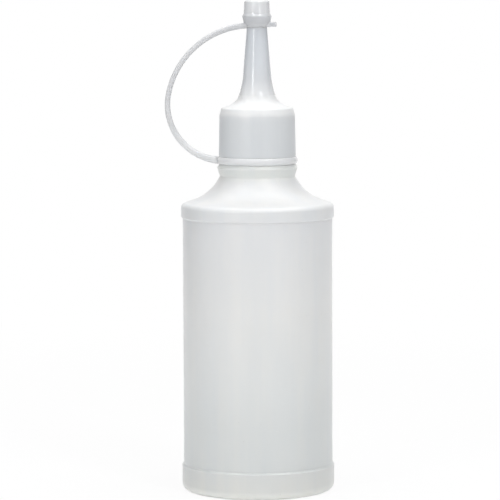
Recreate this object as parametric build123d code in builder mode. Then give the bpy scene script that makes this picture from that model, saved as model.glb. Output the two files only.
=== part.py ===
from build123d import *
from math import atan, cos, degrees, radians, sin, tan
import os

os.makedirs("parts", exist_ok=True)

# A squeeze bottle with a screw-on nozzle cap and a tethered tip cap, in millimetres.
# The origin is on the bottle's axis, in the plane that it stands on. The strap is on the -X side.

# Bottle: body, bands, base and shoulder
body_radius = 28.4
band_step = 0.6
band_edge = 0.3
base_band_height = 10.1
base_corner_radius = 2.9
foot_width = 2.6
base_push_up = 3.0
shoulder_height = 109.4
shoulder_band_height = 5.2
shoulder_corner_radius = 2.0
shoulder_low_slope = 17.5
shoulder_high_slope = 62.0
shoulder_radius = 19.4
bottle_wall = 1.0

# Bottle: collar, bead and threaded neck
collar_radius = 14.25
bead_projection = 0.95
bead_rise = 3.3
bead_height = 4.7
ledge_setback = 0.8
neck_length = 18.4
neck_radius = 11.3
neck_wall = 1.7
collar_wall = 1.4
mouth_fillet = 0.4

# Screw thread that the neck and the nozzle cap share
thread_pitch = 3.0
thread_turns = 1.5
thread_depth = 1.2
thread_root_width = 2.0
thread_crest_width = 1.0
cap_thread_root_width = 1.7
cap_thread_crest_width = 0.8
thread_radial_clearance = 0.35
thread_sink = 0.1
thread_start_angle = 60.0
thread_below_mouth = 4.0

# Sealing washer
washer_thickness = 1.2
washer_clearance = 0.25
washer_overhang = 0.4

# Nozzle cap: skirt, crown and spout
skirt_wall = 1.75
skirt_taper = 0.3
skirt_bevel_height = 2.7
skirt_bevel = 0.75
roof_thickness = 1.5
crown_edge_radius = 0.5
crown_slope = 20.0
crown_cove_radius = 5.6
crown_cove_slope = 70.0
spout_flare_radius = 31.5
spout_foot_radius = 5.3
spout_shoulder_radius = 3.83
spout_length = 17.7
spout_wall = 1.4
spout_bore_shoulder_radius = 1.6
nose_length = 8.0
nose_foot_radius = 3.05
nose_tip_radius = 2.55
nose_tip_fillet = 0.4
orifice_radius = 1.25

# Foot of the nozzle cap, where the tether ring turns
ring_height = 2.5
ring_lift = 0.25
ring_running_clearance = 0.1
ring_end_clearance = 0.05
groove_depth = 0.85
lip_height = 0.45
lip_projection = 0.3
ring_bulge = 0.7
ring_edge = 0.1

# Tether strap
strap_width = 3.4
strap_ring_thickness = 2.7
strap_cap_thickness = 2.2
strap_edge_radius = 0.9
strap_ring_slope = 8.8
strap_cap_slope = 7.0
strap_cap_reach = 23.0
lug_reach = 0.7
lug_thickness = 2.5
arm_reach = 2.1
arm_rise = 0.6

# Tip cap
nose_clearance = 0.08
tip_cap_headroom = 0.6
tip_cap_roof = 1.7
tip_cap_bowl_width = 1.3
tip_cap_bowl_height = 2.2
tip_cap_bowl_sagitta = 0.15
tip_cap_foot_height = 0.45
tip_cap_bead_projection = 0.4
tip_cap_bead_height = 4.4
tip_cap_bead_edge = 0.3
tip_cap_ledge_width = 0.5
tip_cap_ledge_height = 0.9
tip_cap_taper = 0.3
tip_cap_top_fillet = 0.9
pin_clearance = 0.15
pin_length = 2.2
tab_reach = 1.9
tab_width = 4.4
tab_thickness = 1.8
tab_bottom = 0.3
tab_corner_radius = 0.9
arm_spout_clearance = 0.3

# How near an edge lies to the height at which it is looked for
rim_tolerance = 0.01

# Radii and heights that follow from the sizes above
band_radius = body_radius + band_step
foot_outer_radius = band_radius - base_corner_radius
foot_inner_radius = foot_outer_radius - foot_width
bead_radius = collar_radius + bead_projection
ledge_radius = bead_radius - ledge_setback
bore_radius = neck_radius - neck_wall
crest_radius = neck_radius + thread_depth
cap_bore_radius = crest_radius + thread_radial_clearance
cap_crest_radius = neck_radius + thread_radial_clearance
skirt_foot_radius = cap_bore_radius + skirt_wall
ring_bulge_radius = skirt_foot_radius + ring_bulge
ring_edge_radius = skirt_foot_radius + ring_edge
bowl_radius = spout_shoulder_radius + tip_cap_bowl_width
bead_outer_radius = bowl_radius + tip_cap_bead_projection
ledge_inner_radius = bead_outer_radius - tip_cap_ledge_width


def arc_drop(radius, low_slope, high_slope):
    """Run and rise of a concave arc whose slope goes from low to high, in degrees from level."""
    run = radius * (sin(radians(high_slope)) - sin(radians(low_slope)))
    rise = radius * (cos(radians(low_slope)) - cos(radians(high_slope)))
    return run, rise


def inset(point, slope, depth):
    """The point moved by depth into the wall, square to a surface that climbs inwards at slope."""
    return (point[0] - depth * sin(radians(slope)), point[1] - depth * cos(radians(slope)))


def climb(slope):
    """Direction of a surface that climbs towards the axis at slope."""
    return (-cos(radians(slope)), sin(radians(slope)))


def rim(piece, height):
    """The circular edge of a turned piece at a height."""
    circles = piece.edges().filter_by(GeomType.CIRCLE)
    return circles.filter_by_position(Axis.Z, height - rim_tolerance, height + rim_tolerance)


# Shoulder: a gently sloping cone from the band corner, then a concave arc up to the collar
shoulder_run, shoulder_rise = arc_drop(shoulder_radius, shoulder_low_slope, shoulder_high_slope)
shoulder_arc_radius = collar_radius + shoulder_run
shoulder_arc_z = shoulder_height + (band_radius - shoulder_arc_radius) * tan(radians(shoulder_low_slope))
collar_z = shoulder_arc_z + shoulder_rise
bead_z = collar_z + bead_rise
ledge_z = collar_z + bead_height
mouth_z = ledge_z + neck_length
neck_thread_z = mouth_z - thread_below_mouth - thread_turns * thread_pitch
cap_thread_z = neck_thread_z - thread_pitch / 2

# Nozzle cap heights, from the neck upwards
cap_foot_z = ledge_z + ring_lift + ring_end_clearance
ring_z = ledge_z + ring_lift
skirt_z = ring_z + ring_height + ring_end_clearance
roof_z = mouth_z + washer_thickness
crown_edge_z = roof_z + roof_thickness
skirt_top_radius = skirt_foot_radius - skirt_taper
crown_edge_outer_radius = skirt_top_radius - skirt_bevel
flare_slope = 90 - degrees(atan((spout_foot_radius - spout_shoulder_radius) / spout_length))
flare_run, flare_rise = arc_drop(spout_flare_radius, crown_cove_slope, flare_slope)
cove_run, cove_rise = arc_drop(crown_cove_radius, crown_slope, crown_cove_slope)
flare_radius = spout_foot_radius + flare_run
cove_radius = flare_radius + cove_run
cove_z = crown_edge_z + (crown_edge_outer_radius - cove_radius) * tan(radians(crown_slope))
flare_z = cove_z + cove_rise
spout_z = flare_z + flare_rise
seat_z = spout_z + spout_length
nose_z = seat_z + nose_length


def thread_ridge(root_radius, crest_radius, root_width, crest_width, start_z):
    """A ridge swept up a right-hand helix, from just inside its wall out to its crest."""
    sink = thread_sink if root_radius < crest_radius else -thread_sink
    with BuildPart() as ridge:
        with BuildLine() as path:
            Helix(
                pitch=thread_pitch,
                height=thread_pitch * thread_turns,
                radius=root_radius,
                center=(0, 0, start_z),
            )
        with BuildSketch(Plane.XZ) as section:
            with BuildLine():
                Polyline(
                    (root_radius - sink, start_z - root_width / 2),
                    (crest_radius, start_z - crest_width / 2),
                    (crest_radius, start_z + crest_width / 2),
                    (root_radius - sink, start_z + root_width / 2),
                    close=True,
                )
            make_face()
        sweep(sections=section.sketch, path=path.line, is_frenet=True)
    return ridge.part


# Bottle: one outline of wall, turned about the axis, with the thread ridge on the neck
neck_ridge = thread_ridge(neck_radius, crest_radius, thread_root_width, thread_crest_width, neck_thread_z)
shoulder_corner = (band_radius, shoulder_height)
shoulder_arc_start = (shoulder_arc_radius, shoulder_arc_z)
inner_collar_radius = collar_radius - collar_wall
inner_shoulder_arc_start = inset(shoulder_arc_start, shoulder_low_slope, bottle_wall)
inner_collar = inset((collar_radius, collar_z), shoulder_high_slope, bottle_wall)
inner_body_radius = body_radius - bottle_wall
inner_shoulder_z = inner_shoulder_arc_start[1] - (
    inner_body_radius - inner_shoulder_arc_start[0]
) * tan(radians(shoulder_low_slope))
floor_z = base_corner_radius + bottle_wall

with BuildPart() as bottle:
    with BuildSketch(Plane.XZ):
        with BuildLine():
            push_up = TangentArc((0, base_push_up), (foot_inner_radius, 0), tangent=(1, 0))
            foot = Line(push_up @ 1, (foot_outer_radius, 0))
            corner = TangentArc(foot @ 1, (band_radius, base_corner_radius), tangent=(1, 0))
            lower = Polyline(
                corner @ 1,
                (band_radius, base_band_height - band_edge),
                (body_radius, base_band_height + band_edge),
                (body_radius, shoulder_height - shoulder_band_height - band_edge),
                (band_radius, shoulder_height - shoulder_band_height + band_edge),
                shoulder_corner,
                shoulder_arc_start,
            )
            outer_cove = TangentArc(
                lower @ 1, (collar_radius, collar_z), tangent=climb(shoulder_low_slope)
            )
            neck = Polyline(
                outer_cove @ 1,
                (bead_radius, bead_z),
                (ledge_radius, ledge_z),
                (neck_radius, ledge_z),
                (neck_radius, mouth_z),
                (bore_radius, mouth_z),
                (bore_radius, ledge_z),
                (inner_collar_radius, ledge_z - (inner_collar_radius - bore_radius)),
                (inner_collar_radius, collar_z),
                inner_collar,
            )
            inner_cove = TangentArc(
                inner_shoulder_arc_start, neck @ 1, tangent=climb(shoulder_low_slope)
            )
            inside = Polyline(
                inner_cove @ 0,
                (inner_body_radius, inner_shoulder_z),
                (inner_body_radius, floor_z),
            )
            floor_corner = TangentArc(
                inside @ 1, (foot_outer_radius - bottle_wall, bottle_wall), tangent=(0, -1)
            )
            floor = Line(floor_corner @ 1, (foot_inner_radius, bottle_wall))
            dome = TangentArc((0, base_push_up + bottle_wall), floor @ 1, tangent=(1, 0))
            Line(dome @ 0, push_up @ 0)
        make_face()
    revolve(axis=Axis.Z)
    fillet(rim(bottle, shoulder_height), radius=shoulder_corner_radius)
    mouth_edges = bottle.faces().sort_by(Axis.Z)[-1].edges()
    fillet(mouth_edges, radius=mouth_fillet)
    add(neck_ridge, rotation=(0, 0, thread_start_angle))
bottle.part.label = "bottle"
export_step(bottle.part, "parts/bottle.step")

# Sealing washer: a flat ring between the mouth and the roof of the nozzle cap
with BuildPart() as sealing_washer:
    with BuildSketch(Plane.XY.offset(mouth_z)):
        Circle(cap_bore_radius - washer_clearance)
        Circle(bore_radius - washer_overhang, mode=Mode.SUBTRACT)
    extrude(amount=washer_thickness)
sealing_washer.part.label = "sealing_washer"
export_step(sealing_washer.part, "parts/sealing_washer.step")

# Nozzle cap: skirt with its groove and lip, crown, spout and nose, hollow all the way through
cap_ridge = thread_ridge(
    cap_bore_radius, cap_crest_radius, cap_thread_root_width, cap_thread_crest_width, cap_thread_z
)
groove_radius = skirt_foot_radius - groove_depth
lip_radius = groove_radius + lip_projection
roof_inner_radius = bore_radius - washer_overhang
flare_inner = inset((flare_radius, flare_z), crown_cove_slope, spout_wall)
spout_inner = inset((spout_foot_radius, spout_z), flare_slope, spout_wall)

with BuildPart() as nozzle_cap:
    with BuildSketch(Plane.XZ):
        with BuildLine():
            skirt = Polyline(
                (cap_bore_radius, cap_foot_z),
                (lip_radius, cap_foot_z),
                (lip_radius, cap_foot_z + lip_height),
                (groove_radius, cap_foot_z + lip_height),
                (groove_radius, skirt_z),
                (skirt_foot_radius, skirt_z),
                (skirt_top_radius, crown_edge_z - skirt_bevel_height),
                (crown_edge_outer_radius, crown_edge_z),
                (cove_radius, cove_z),
            )
            cove = TangentArc(skirt @ 1, (flare_radius, flare_z), tangent=climb(crown_slope))
            flare = TangentArc(cove @ 1, (spout_foot_radius, spout_z), tangent=cove % 1)
            spout = Polyline(
                flare @ 1,
                (spout_shoulder_radius, seat_z),
                (nose_foot_radius, seat_z),
                (nose_tip_radius, nose_z),
                (orifice_radius, nose_z),
                (orifice_radius, seat_z),
                (spout_bore_shoulder_radius, seat_z),
                spout_inner,
            )
            inner_flare = TangentArc(flare_inner, spout @ 1, tangent=climb(crown_cove_slope))
            Polyline(
                inner_flare @ 0,
                (roof_inner_radius, roof_z + spout_wall),
                (roof_inner_radius, roof_z),
                (cap_bore_radius, roof_z),
                (cap_bore_radius, cap_foot_z),
            )
        make_face()
    revolve(axis=Axis.Z)
    fillet(rim(nozzle_cap, crown_edge_z), radius=crown_edge_radius)
    nose_edge = nozzle_cap.edges().group_by(Axis.Z)[-1].sort_by(SortBy.RADIUS)[-1]
    fillet(nose_edge, radius=nose_tip_fillet)
    add(cap_ridge, rotation=(0, 0, thread_start_angle))
nozzle_cap.part.label = "nozzle_cap"
export_step(nozzle_cap.part, "parts/nozzle_cap.step")

# Tether ring: a rounded band that turns in the groove, behind the lip, with a lug for the strap
ring_bore_radius = groove_radius + ring_running_clearance
ring_recess_radius = lip_radius + ring_running_clearance
ring_recess_z = cap_foot_z + lip_height + ring_end_clearance
ring_middle_z = ring_z + ring_height / 2
lug_x = -(ring_bulge_radius + lug_reach)

with BuildPart() as tether_ring:
    with BuildSketch(Plane.XZ):
        with BuildLine():
            bore = Polyline(
                (ring_edge_radius, ring_z + ring_height),
                (ring_bore_radius, ring_z + ring_height),
                (ring_bore_radius, ring_recess_z),
                (ring_recess_radius, ring_recess_z),
                (ring_recess_radius, ring_z),
                (ring_edge_radius, ring_z),
            )
            ThreePointArc(bore @ 1, (ring_bulge_radius, ring_middle_z), bore @ 0)
        make_face()
    revolve(axis=Axis.Z)
    with BuildSketch(Plane.YZ.offset(lug_x)):
        with Locations((0, ring_middle_z)):
            RectangleRounded(strap_width, lug_thickness, strap_edge_radius)
    extrude(amount=lug_reach + (ring_bulge_radius - ring_recess_radius) / 2)
tether_ring.part.label = "tether_ring"
export_step(tether_ring.part, "parts/tether_ring.step")

# Tip cap: a closed thimble on the nose, with a pin for the orifice, a lift tab and the strap's arm
tip_roof_z = nose_z + tip_cap_headroom
tip_top_z = tip_roof_z + tip_cap_roof
bead_top_z = seat_z + tip_cap_bead_height
tab_x = bead_outer_radius + tab_reach
root_x = (spout_shoulder_radius + nose_foot_radius + nose_clearance) / 2
arm_x = -(spout_shoulder_radius + arm_reach)
arm_z = seat_z + arm_rise
nose_taper = (nose_foot_radius - nose_tip_radius) / nose_length
socket_top_radius = nose_tip_radius + nose_clearance - nose_taper * tip_cap_headroom

with BuildPart() as tip_cap:
    with BuildSketch(Plane.XZ):
        with BuildLine():
            bowl = SagittaArc(
                (spout_shoulder_radius, seat_z + tip_cap_foot_height),
                (bowl_radius, seat_z + tip_cap_bowl_height),
                -tip_cap_bowl_sagitta,
            )
            Polyline(
                bowl @ 1,
                (bead_outer_radius, bead_top_z - tip_cap_bead_edge),
                (bead_outer_radius, bead_top_z),
                (ledge_inner_radius, bead_top_z + tip_cap_ledge_height),
                (ledge_inner_radius - tip_cap_taper, tip_top_z),
                (0, tip_top_z),
                (0, tip_roof_z - pin_length),
                (orifice_radius - pin_clearance, tip_roof_z - pin_length),
                (orifice_radius - pin_clearance, tip_roof_z),
                (socket_top_radius, tip_roof_z),
                (nose_foot_radius + nose_clearance, seat_z),
                (spout_shoulder_radius, seat_z),
                bowl @ 0,
            )
        make_face()
    revolve(axis=Axis.Z)
    top_edge = tip_cap.faces().sort_by(Axis.Z)[-1].edges()
    fillet(top_edge, radius=tip_cap_top_fillet)
    with BuildSketch(Plane.XY.offset(seat_z + tab_bottom)):
        with Locations(((tab_x + root_x) / 2, 0)):
            Rectangle(tab_x - root_x, tab_width)
    extrude(amount=tab_thickness)
    tab_corners = tip_cap.edges().filter_by(Axis.Z).group_by(Axis.X)[-1]
    fillet(tab_corners, radius=tab_corner_radius)
    with BuildSketch(Plane.YZ.offset(arm_x)):
        with Locations((0, arm_z)):
            RectangleRounded(strap_width, strap_cap_thickness, strap_edge_radius)
    extrude(amount=-arm_x - root_x)
    with BuildSketch(Plane.XY.offset(seat_z)):
        Circle(spout_shoulder_radius + arm_spout_clearance)
    extrude(amount=-strap_cap_thickness, mode=Mode.SUBTRACT)
tip_cap.part.label = "tip_cap"
export_step(tip_cap.part, "parts/tip_cap.step")

# Tether strap: two tangent arcs on each side, from the lug up and round to the arm
def biarc_joint(start, start_way, finish, finish_way, reach):
    """Where two arcs meet that leave start and reach finish along the given directions."""
    span = finish - start
    lean = start_way.dot(finish_way) - 1
    other = (span.dot(span) / 2 - reach * span.dot(start_way)) / (span.dot(finish_way) - reach * lean)
    near = start + start_way * reach
    far = finish - finish_way * other
    return (near * other + far * reach) / (reach + other)


cap_way = Vector(-cos(radians(strap_cap_slope)), -sin(radians(strap_cap_slope)))
ring_way = Vector(cos(radians(strap_ring_slope)), -sin(radians(strap_ring_slope)))


def strap_side(cap_half, ring_half):
    """One long side of the strap, a half thickness outside (+) or inside (-) its middle line."""
    start = Vector(arm_x, arm_z + cap_half)
    finish = Vector(lug_x, ring_middle_z - ring_half)
    middle = biarc_joint(start, cap_way, finish, ring_way, strap_cap_reach + cap_half)
    first = TangentArc(start, middle, tangent=cap_way)
    TangentArc(middle, finish, tangent=first % 1)
    return start, finish


with BuildPart() as tether_strap:
    with BuildSketch(Plane.XZ):
        with BuildLine():
            outer_start, outer_finish = strap_side(strap_cap_thickness / 2, strap_ring_thickness / 2)
            inner_start, inner_finish = strap_side(-strap_cap_thickness / 2, -strap_ring_thickness / 2)
            Line(outer_start, inner_start)
            Line(outer_finish, inner_finish)
        make_face()
    extrude(amount=strap_width / 2, both=True)
    long_edges = tether_strap.faces().filter_by(Axis.Y).edges().filter_by(GeomType.CIRCLE)
    fillet(long_edges, radius=strap_edge_radius)
tether_strap.part.label = "tether_strap"
export_step(tether_strap.part, "parts/tether_strap.step")

print("collar", round(collar_z, 2), "ledge", round(ledge_z, 2), "mouth", round(mouth_z, 2))
print("crown edge", round(crown_edge_z, 2), "spout foot", round(spout_z, 2), "seat", round(seat_z, 2))
print("total height", round(tip_top_z, 2))
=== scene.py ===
import bpy
import numpy as np
from mathutils import Matrix, Vector


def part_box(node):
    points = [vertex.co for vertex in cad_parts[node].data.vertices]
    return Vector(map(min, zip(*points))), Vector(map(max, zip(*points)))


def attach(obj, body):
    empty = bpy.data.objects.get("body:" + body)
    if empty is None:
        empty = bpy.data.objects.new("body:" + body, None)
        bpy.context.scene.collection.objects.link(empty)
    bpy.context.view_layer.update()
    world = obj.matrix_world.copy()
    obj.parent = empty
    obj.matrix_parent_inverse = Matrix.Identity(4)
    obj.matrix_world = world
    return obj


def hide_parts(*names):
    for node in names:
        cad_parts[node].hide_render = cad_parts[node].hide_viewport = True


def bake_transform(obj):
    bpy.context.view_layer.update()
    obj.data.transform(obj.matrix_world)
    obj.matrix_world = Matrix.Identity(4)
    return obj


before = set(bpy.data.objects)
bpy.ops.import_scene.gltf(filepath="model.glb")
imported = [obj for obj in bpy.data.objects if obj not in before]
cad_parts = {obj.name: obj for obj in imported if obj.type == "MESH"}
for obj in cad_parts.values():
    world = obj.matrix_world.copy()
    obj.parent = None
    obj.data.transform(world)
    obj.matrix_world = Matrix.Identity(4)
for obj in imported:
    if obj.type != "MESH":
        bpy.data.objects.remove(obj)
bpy.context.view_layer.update()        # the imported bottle, in metres, standing on its axis
mm = 0.001
tiny = 1e-9              # keeps divisions off zero
slack = 0.02             # millimetres within which a place counts as reached


# Lowest and highest corner of a CAD node, in millimetres
def nodeSpan(node):
    low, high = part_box(node)
    return low / mm, high / mm


capLow, capHigh = nodeSpan("nozzle_cap")
washerLow, washerHigh = nodeSpan("sealing_washer")
ringLow, ringHigh = nodeSpan("tether_ring")
bottleHigh, strapHigh, tipHigh = (nodeSpan(node)[1] for node in ("bottle", "tether_strap", "tip_cap"))


# Makes an object from its data and puts it into the scene
def addObject(name, data):
    made = bpy.data.objects.new(name, data)
    bpy.context.scene.collection.objects.link(made)
    return made


# Camera: a long lens in front of the bottle, a little above it
cameraView = {
    "place": (-0.0029, -1.2242, 0.2074),
    "target": (-0.0029, 0.0, 0.09167),
    "roll": -0.2,            # degrees, which leans the bottle to the left
    "lens": 233.0,
    "sensor": 36.0,
    "clipEnd": 50.0,
}


def addCamera(view):
    data = bpy.data.cameras.new("photoCamera")
    data.lens, data.sensor_width, data.clip_end = view["lens"], view["sensor"], view["clipEnd"]
    camera = addObject("photoCamera", data)
    place, target = Vector(view["place"]), Vector(view["target"])
    turn = (target - place).to_track_quat("-Z", "Y").to_matrix()
    roll = Matrix.Rotation(np.radians(view["roll"]), 3, "Z")
    camera.matrix_world = Matrix.Translation(place) @ (turn @ roll).to_4x4()
    bpy.context.scene.camera = camera


addCamera(cameraView)
print("camera set")


# Where two sides of an outline meet. Each passes through its point and climbs towards the axis at its
# slope in degrees, so its height is z - (r - r0) * tan(slope).
def meeting(first, firstSlope, second, secondSlope):
    a, b = np.tan(np.radians([firstSlope, secondSlope]))
    r = (first[1] + a * first[0] - second[1] - b * second[0]) / (a - b)
    return r, first[1] - a * (r - first[0])


# The point moved into the wall by depth, square to a side that climbs at slope
def inwards(point, slope, depth):
    angle = np.radians(slope)
    return point[0] - depth * np.sin(angle), point[1] - depth * np.cos(angle)


# Rounds an outline. Each corner is (r, z, rounding), and becomes the arc that touches both its sides: the
# arc starts rounding / tan(half the corner's angle) from the corner, and its centre is on the halving line.
# No part of an arc turns more than arcStep degrees or is longer than chord. The third column that comes
# back is how sharp the edge is there, 1 under sharpEdge and falling beyond it, and the fourth is 1 where
# the side that follows the point is part of an arc.
def roundOutline(corners, arcStep, chord=0.9, sharpEdge=0.3):
    corners = np.array(corners, float)
    point, rounding = corners[:, :2], corners[:, 2]
    before = np.roll(point, 1, axis=0) - point
    after = np.roll(point, -1, axis=0) - point
    before /= np.linalg.norm(before, axis=1, keepdims=True)
    after /= np.linalg.norm(after, axis=1, keepdims=True)
    half = np.arccos(np.clip((before * after).sum(axis=1), -1, 1)) / 2
    middle = before + after
    middle /= np.maximum(np.linalg.norm(middle, axis=1, keepdims=True), tiny)
    cut = (rounding / np.tan(half))[:, None]
    centre = point + middle * (rounding / np.sin(half))[:, None]
    first, last = point + before * cut - centre, point + after * cut - centre
    turn = np.pi - 2 * half
    parts = np.ceil(np.maximum(np.degrees(turn) / arcStep, turn * rounding / chord)).astype(int)
    count = np.where(rounding > 0, parts + 1, 1)
    corner = np.repeat(np.arange(len(corners)), count)
    place = np.arange(count.sum()) - np.repeat(np.cumsum(count) - count, count)
    share = place / np.maximum(count - 1, 1)[corner]
    turn = turn[corner]
    weights = np.sin(np.stack([(1 - share) * turn, share * turn])) / np.sin(turn)
    arc = centre[corner] + weights[0][:, None] * first[corner] + weights[1][:, None] * last[corner]
    arc = np.where((rounding > 0)[corner][:, None], arc, point[corner])
    sharp = np.where(rounding > 0, np.clip(sharpEdge / np.maximum(rounding, tiny), 0, 1), 0)[corner]
    return np.column_stack([arc, sharp * np.sin(np.pi * share), place < (count - 1)[corner]])


# Adds points along an outline: a side of length d gets ceil(d / longest) equal parts, and a straight side
# longer than four holds also gets a point one hold from each end, which keeps it flat up to the arcs.
def divideOutline(points, longest, closed, hold):
    start = points if closed else points[:-1]
    end = np.roll(points, -1, axis=0) if closed else points[1:]
    length = np.linalg.norm((end - start)[:, :2], axis=1)
    middle = (start + end) / 2
    held = (length > 4 * hold) & (start[:, 3] < 1)
    inner = np.where(held, length - 2 * hold, length)
    parts = np.maximum(np.ceil(inner / longest(middle[:, 0], middle[:, 1])).astype(int), 1)
    count = parts + 2 * held
    side = np.repeat(np.arange(len(start)), count)
    place = np.arange(count.sum()) - np.repeat(np.cumsum(count) - count, count)
    step = (place - held[side]) / parts[side]
    along = np.where(held[side], hold + step * inner[side], step * inner[side])
    along = np.where(place == 0, 0, along)
    share = along / np.maximum(length, tiny)[side]
    grown = start[side] + share[:, None] * (end - start)[side]
    return grown if closed else np.vstack([grown, points[-1:]])


# Angles of a turned piece's columns: even steps, with more beside the mould's parting plane, y = 0, at
# the distances in fine, which are radians
def columnAngles(count, fine):
    even = np.linspace(0, 2 * np.pi, count, endpoint=False)
    near = np.array([s * f for f in fine for s in (1, -1)])
    return np.unique(np.round(np.concatenate([even, near % (2 * np.pi), np.pi + near]), 7))


# Makes a mesh from a grid of points, rows by columns, in millimetres. Columns close round; rows do if
# ringed. A pole row is one point that its neighbours meet in triangles. Faces point outwards: where the
# sum of the faces' signed volumes is negative, every face is turned over. sharp goes into the attribute
# edge, which the wear reads.
def gridObject(name, grid, ringed, poles, sharp):
    rows, columns = grid.shape[:2]
    index = np.arange(rows * columns).reshape(rows, columns)
    for row in poles:
        index[row] = index[row, 0]
    lower = index if ringed else index[:-1]
    upper = np.roll(index, -1, axis=0) if ringed else index[1:]
    lowerNext, upperNext = np.roll(lower, -1, axis=1), np.roll(upper, -1, axis=1)
    faces = np.stack([lower, lowerNext, upperNext, upper], axis=-1).reshape(-1, 4)
    atLow, atHigh = faces[:, 0] == faces[:, 1], faces[:, 2] == faces[:, 3]
    quads = faces[~(atLow | atHigh)]
    triangles = np.vstack([faces[atLow][:, [0, 2, 3]], faces[atHigh][:, [0, 1, 2]]])
    points = grid.reshape(-1, 3)
    used = np.unique(np.concatenate([quads.ravel(), triangles.ravel()]))
    renumber = np.zeros(len(points), int)
    renumber[used] = np.arange(len(used))
    points, quads, triangles = points[used], renumber[quads], renumber[triangles]
    halves = np.vstack([quads[:, [0, 1, 2]], quads[:, [0, 2, 3]], triangles])
    a, b, c = (points[halves[:, k]] for k in range(3))
    if (a * np.cross(b, c)).sum() < 0:
        quads, triangles = quads[:, ::-1], triangles[:, ::-1]
    mesh = bpy.data.meshes.new(name)
    corners = np.concatenate([quads.ravel(), triangles.ravel()])
    starts = np.concatenate([np.arange(len(quads)) * 4, len(quads) * 4 + np.arange(len(triangles)) * 3])
    mesh.vertices.add(len(points))
    mesh.vertices.foreach_set("co", (points * mm).ravel())
    mesh.loops.add(len(corners))
    mesh.loops.foreach_set("vertex_index", corners.astype(np.int32))
    mesh.polygons.add(len(starts))
    mesh.polygons.foreach_set("loop_start", starts.astype(np.int32))
    mesh.update(calc_edges=True)
    mesh.validate()
    mesh.polygons.foreach_set("use_smooth", np.ones(len(mesh.polygons), bool))
    edge = mesh.attributes.new("edge", "FLOAT", "POINT")
    edge.data.foreach_set("value", sharp.reshape(-1)[used].astype(np.float32))
    return addObject(name, mesh)


# A turned piece: x = r cos(a), y = r sin(a), z = h for each outline point (r, h) and column angle a.
# relief(a, r, h) gives what is added to the radius and to the height.
def turnedPiece(name, outline, angles, relief):
    closed = outline[0, 0] > tiny
    r, z = outline[:, :1], outline[:, 1:2]
    a = angles[None, :]
    growR, growZ = relief(a, r, z) if relief else (0, 0)
    radius, height = r + growR + 0 * a, z + growZ + 0 * a
    poles = () if closed else (0, len(outline) - 1)
    for row in poles:
        radius[row] = 0
        height[row] = outline[row, 1]
    grid = np.stack([radius * np.cos(a), radius * np.sin(a), height], axis=-1)
    sharp = np.repeat(outline[:, 2:3], len(angles), axis=1)
    return gridObject(name, grid, closed, poles, sharp)


# Rounds and divides an outline of corners and turns it into a piece. mesh holds the most that one part of
# an arc turns, the longest side, how near its arcs a straight side's points go, and the number of columns.
def turnCorners(name, corners, mesh, longest=None, relief=None, fine=()):
    closed = corners[0][0] > tiny
    longest = longest or (lambda r, z: np.full_like(r, mesh["longest"]))
    outline = divideOutline(roundOutline(corners, mesh["arcStep"]), longest, closed, mesh["hold"])
    return turnedPiece(name, outline, columnAngles(mesh["columns"], fine), relief)


# A soft step from 0 at low to 1 at high: t * t * (3 - 2 * t)
def softStep(value, low, high):
    t = np.clip((value - low) / (high - low), 0, 1)
    return t * t * (3 - 2 * t)


# Height of a screw thread over its root. The helix is at start + pitch * turns; d is the distance along
# the axis to its nearest turn. The ridge is full inside half its crest width, gone at half its root
# width, and fades over fadeTurns at both ends.
def threadHeight(a, z, thread):
    turn = (a - np.radians(thread["startAngle"])) / (2 * np.pi)
    turns = np.round((z - thread["start"]) / thread["pitch"] - turn) + turn
    d = np.abs(z - thread["start"] - thread["pitch"] * turns)
    ridge = softStep(d, thread["rootWidth"] / 2, thread["crestWidth"] / 2)
    left = thread["turns"] - turns
    fade = softStep(turns, 0, thread["fadeTurns"]) * softStep(left, 0, thread["fadeTurns"])
    return thread["depth"] * ridge * fade


# Bottle: a blown shell with bands at the base and the shoulder, a concave shoulder and a threaded neck.
# A fade, rise or drop is the two places between which an effect comes in: rises are measured up from the
# foot or the shoulder, drops down from the shoulder or the mouth. Waves and ripples are (strength, number
# round the bottle, radians for each millimetre of height, phase). Steps are the mesh's longest sides, and
# wideFrom is the radius from which the wide one holds.
bottleSizes = {
    "bodyRadius": 28.4, "bandRadius": bottleHigh.x, "bandEdge": 0.3, "baseBand": 10.1, "heelRounding": 2.9,
    "footWidth": 2.6, "pushUp": 3.0, "shoulderZ": 109.4, "shoulderBand": 5.2, "shoulderRounding": 2.0,
    "lowSlope": 17.5, "highSlope": 62.0, "coveRounding": 18.4, "wall": 1.0, "collarRadius": 14.25,
    "beadRadius": 15.2, "beadRise": 3.3, "ledgeRadius": 14.4, "ledgeRise": 4.7, "neckRadius": 11.3,
    "neckLength": 18.4, "boreRadius": 9.6, "collarWall": 1.4, "domeShare": 0.98,
    "seamHeight": 0.05, "seamWidth": 0.13, "seamFade": (0.5, 3), "seamInset": 0.4,
    "pinchHeight": 0.25, "pinchWidth": 0.5, "pinchFade": (21, 17),
    "waveDepth": 0.05, "waveRise": (12, 26), "waveDrop": (6, 18),
    "waves": ((1.0, 3, 0.09, 0.6), (0.7, 2, -0.05, 2.0), (0.5, 5, 0.16, 0.0)),
    "rippleDepth": 0.05, "rippleRise": (1, 3), "rippleDrop": (23, 26),
    "ripples": ((1.0, 7, 0.9, 1.0), (0.8, 11, -1.3, 0.0), (0.6, 4, 2.1, 2.5)),
    "arcStep": 9, "hold": 0.08, "columns": 192, "seamColumns": (0.05, 0.11, 0.18, 0.28, 0.45),
    "neckStep": 0.22, "shoulderStep": 0.9, "wideStep": 2.4, "narrowStep": 1.6, "wideFrom": 20,
}
neckThread = {
    "pitch": 3.0, "turns": 1.5, "depth": 1.2, "rootWidth": 2.0, "crestWidth": 1.0, "startAngle": 60.0,
    "start": bottleHigh.z - 8.5, "fadeTurns": 0.06,
}
ledgeZ = bottleHigh.z - bottleSizes["neckLength"]
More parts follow.
